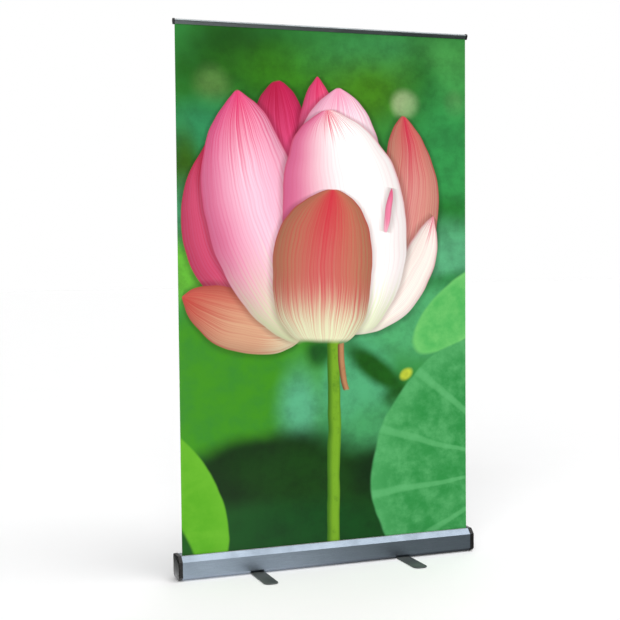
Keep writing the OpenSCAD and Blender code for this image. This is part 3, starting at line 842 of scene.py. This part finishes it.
# swivel feet
foot = {
    "place": 307, "width": 56, "length": 410, "low": 1.2, "thick": 4,
    "corner": 20, "edgeRound": 0.9, "hole": 3.05, "sinkRadius": 6.2, "sinkDepth": 3.2,
    "holeLength": 10, "slack": 0.05, "below": 0.01,     # how the cutting tools differ from what they cut
}


def makeFeet():
    x, low, high = foot["place"], foot["low"], foot["low"] + foot["thick"]
    halfW, halfL = foot["width"] / 2, foot["length"] / 2
    plate = addBlock("foot_right_plate", (x - halfW, -halfL, low), (x + halfW, halfL, high))
    edit(plate)
    for side in (-1, 1):
        for end in (-1, 1):
            bevelCorner(plate, (0, 1), (x + side * halfW, end * halfL), foot["corner"], 10)
    bevelRim(plate, 2, high, foot["edgeRound"], 3)
    bevelRim(plate, 2, low, foot["edgeRound"] / 2, 2)
    leave()
    deep, hole = foot["sinkDepth"], foot["hole"]
    place = (x, 0, low + deep / 2 - foot["below"])
    cut(plate, [addRod(place, foot["sinkRadius"], deep, "Z", hole - foot["slack"])])
    cut(plate, [addRod((x, 0, (low + high) / 2), hole, foot["holeLength"], "Z")])
    other = mirroredCopy(plate, "foot_left_plate")
    finishPiece(plate, "foot_paint", "foot_right", "right_foot")
    finishPiece(other, "foot_paint", "foot_left", "left_foot")


makeFeet()
print("feet made")

# caps at the ends of the top rail
railCap = {
    "inner": 600, "outer": 607, "hinge": (-12, 2090), "radius": 9,
    "tail": (3.4, 14), "edgeRound": 0.8,
    "peg": (-9, 2085.6), "pegRadius": 0.9, "pegLength": 12, "pegRoot": 1,
}


def makeRailCaps():
    given = railCap
    y, z = given["hinge"]
    inner, outer = given["inner"], given["outer"]
    half, low = given["tail"]
    cap = addRod(((inner + outer) / 2, y, z), given["radius"], outer - inner, sides=64)
    cap.name = "rail_cap_right_end"
    tail = addBlock("tail", (inner, y - half, z - low), (outer, y + half, z))
    only(tail)
    cap.select_set(True)
    bpy.context.view_layer.objects.active = cap
    bpy.ops.object.join()
    edit(cap)
    # the round top and the narrow tail make one outline
    bpy.ops.mesh.select_all(action="SELECT")
    bpy.ops.mesh.convex_hull()
    bpy.ops.mesh.select_all(action="SELECT")
    bpy.ops.mesh.dissolve_limited(angle_limit=math.radians(0.5))
    bevelRim(cap, 0, outer, given["edgeRound"], 3)
    leave()
    length, root = given["pegLength"], given["pegRoot"]
    peg = addRod((inner + (root - length) / 2, *given["peg"]), given["pegRadius"], length + root, sides=16)
    cut(cap, [peg], "UNION")
    other = mirroredCopy(cap, "rail_cap_left_end")
    finishPiece(cap, "rail_cap_plastic", "rail_cap_right", "upper_section")
    finishPiece(other, "rail_cap_plastic", "rail_cap_left", "upper_section")


makeRailCaps()
print("rail caps made")

floorLook = {
    "size": 60, "paper": ((0.94, 0.94, 0.94, 1), (0.96, 0.96, 0.96, 1)),
    # dark is a painted dark reflection and glow a painted bright one; only glossy rays see them
    "dark": (0.03, 0.05, 0.04, 1), "paintedReflectionGlow": (0.85, 0.87, 0.9, 1),
    # where the floor's painted reflection changes, as (from, to) in metres
    "leftEnd": (-0.62, -0.7), "toRight": (-0.5, 0.9), "farther": (-0.6, -1.3), "fartherRight": (0.2, 1.7),
    "paintedGlowAway": (-1.0, -0.4), "paintedGlowAcross": (0.35, -0.5), "rightShare": 0.7, "leftShare": 0.55,
}


def makeFloor():
    look = floorLook
    bpy.ops.mesh.primitive_plane_add(size=look["size"], location=(0, 0, 0))
    floor = bpy.context.object
    floor.name = "studio_floor"
    material, tree, shader, point = newMaterial("studioFloor", **{"Roughness": 0.9, "Emission Strength": 1.0})
    paper = mixColour(tree, noise(tree, point, 3.0, 3.0), *look["paper"])
    # painted reflection: only glossy rays see the floor dark at the sides and farther off, and glowing bright
    # close in front
    across, away = addNode(tree, "SeparateXYZ", {"Vector": point}).outputs[:2]
    mirrored = addNode(tree, "LightPath").outputs["Is Glossy Ray"]
    leftEnd = fade(tree, across, *look["leftEnd"])
    sides = calc(tree, "MAXIMUM", leftEnd, fade(tree, across, *look["toRight"], 0.0, look["rightShare"]))
    right = fade(tree, across, *look["fartherRight"], look["leftShare"], 1.0)
    farther = calc(tree, "MULTIPLY", fade(tree, away, *look["farther"]), right)
    # painted shade in the stand's reflections: the floor turns dark for glossy rays only
    paintedReflectionShade = calc(tree, "MULTIPLY", mirrored, calc(tree, "MAXIMUM", sides, farther))
    feed(tree, shader.inputs["Base Color"], mixColour(tree, paintedReflectionShade, paper, look["dark"]))
    # painted reflection: the floor glows for glossy rays only, close in front of the stand and not at its left
    # end
    paintedGlowShare = calc(tree, "MULTIPLY", fade(tree, away, *look["paintedGlowAway"]), fade(tree, across, *look["paintedGlowAcross"]))
    paintedGlowShare = calc(tree, "MULTIPLY", paintedGlowShare, calc(tree, "SUBTRACT", 1.0, leftEnd))
    paintedReflectionGlow = calc(tree, "MULTIPLY", mirrored, paintedGlowShare)
    feed(tree, shader.inputs["Emission Color"], mixColour(tree, paintedReflectionGlow, (0, 0, 0, 1), look["paintedReflectionGlow"]))
    material.cycles.emission_sampling = "NONE"
    floor.data.materials.append(material)


studio = {
    # where the light comes from, its strength, its softness in degrees
    "key": ((-0.4, -0.75, 0.53), 1.5, 38),
    "over": ((0.3, -0.25, 0.92), 1.45, 42),
    "rim": ((0.5, 0.8, 0.5), 0.5, 40),
    "lampDistance": 6,
    "skySeen": 1.0, "skyLight": 0.32,
    # a low card that lightens the left end of the housing
    "kickerPlace": (-0.9, -2.7, 0.45), "kickerAim": (-0.5, 0, 0.1), "kickerSize": (1.5, 0.8), "kickerWatts": 9,
}


def addLights():
    for name in ("key", "over", "rim"):
        origin, strength, softness = studio[name]
        bpy.ops.object.light_add(type="SUN", location=Vector(origin) * studio["lampDistance"])
        lamp = bpy.context.object
        lamp.name = name
        lamp.data.energy = strength
        lamp.data.angle = math.radians(softness)
        lamp.rotation_euler = Vector(origin).to_track_quat("Z", "Y").to_euler()
    place = Vector(studio["kickerPlace"])
    bpy.ops.object.light_add(type="AREA", location=place)
    card = bpy.context.object
    card.name = "kicker"
    card.data.shape = "RECTANGLE"
    card.data.size, card.data.size_y = studio["kickerSize"]
    card.data.energy = studio["kickerWatts"]
    card.rotation_euler = (place - Vector(studio["kickerAim"])).to_track_quat("Z", "Y").to_euler()
    card.visible_camera = False
    world = bpy.data.worlds.new("studio")
    bpy.context.scene.world = world
    world.use_nodes = True
    tree = world.node_tree
    sky = tree.nodes["Background"]
    sky.inputs["Color"].default_value = (1, 1, 1, 1)
    seen = addNode(tree, "LightPath").outputs["Is Camera Ray"]
    feed(tree, sky.inputs["Strength"], fade(tree, seen, 0.0, 1.0, studio["skyLight"], studio["skySeen"]))
    bpy.context.scene.view_settings.view_transform = "Standard"


makeFloor()
addLights()
print("stage and lights made")
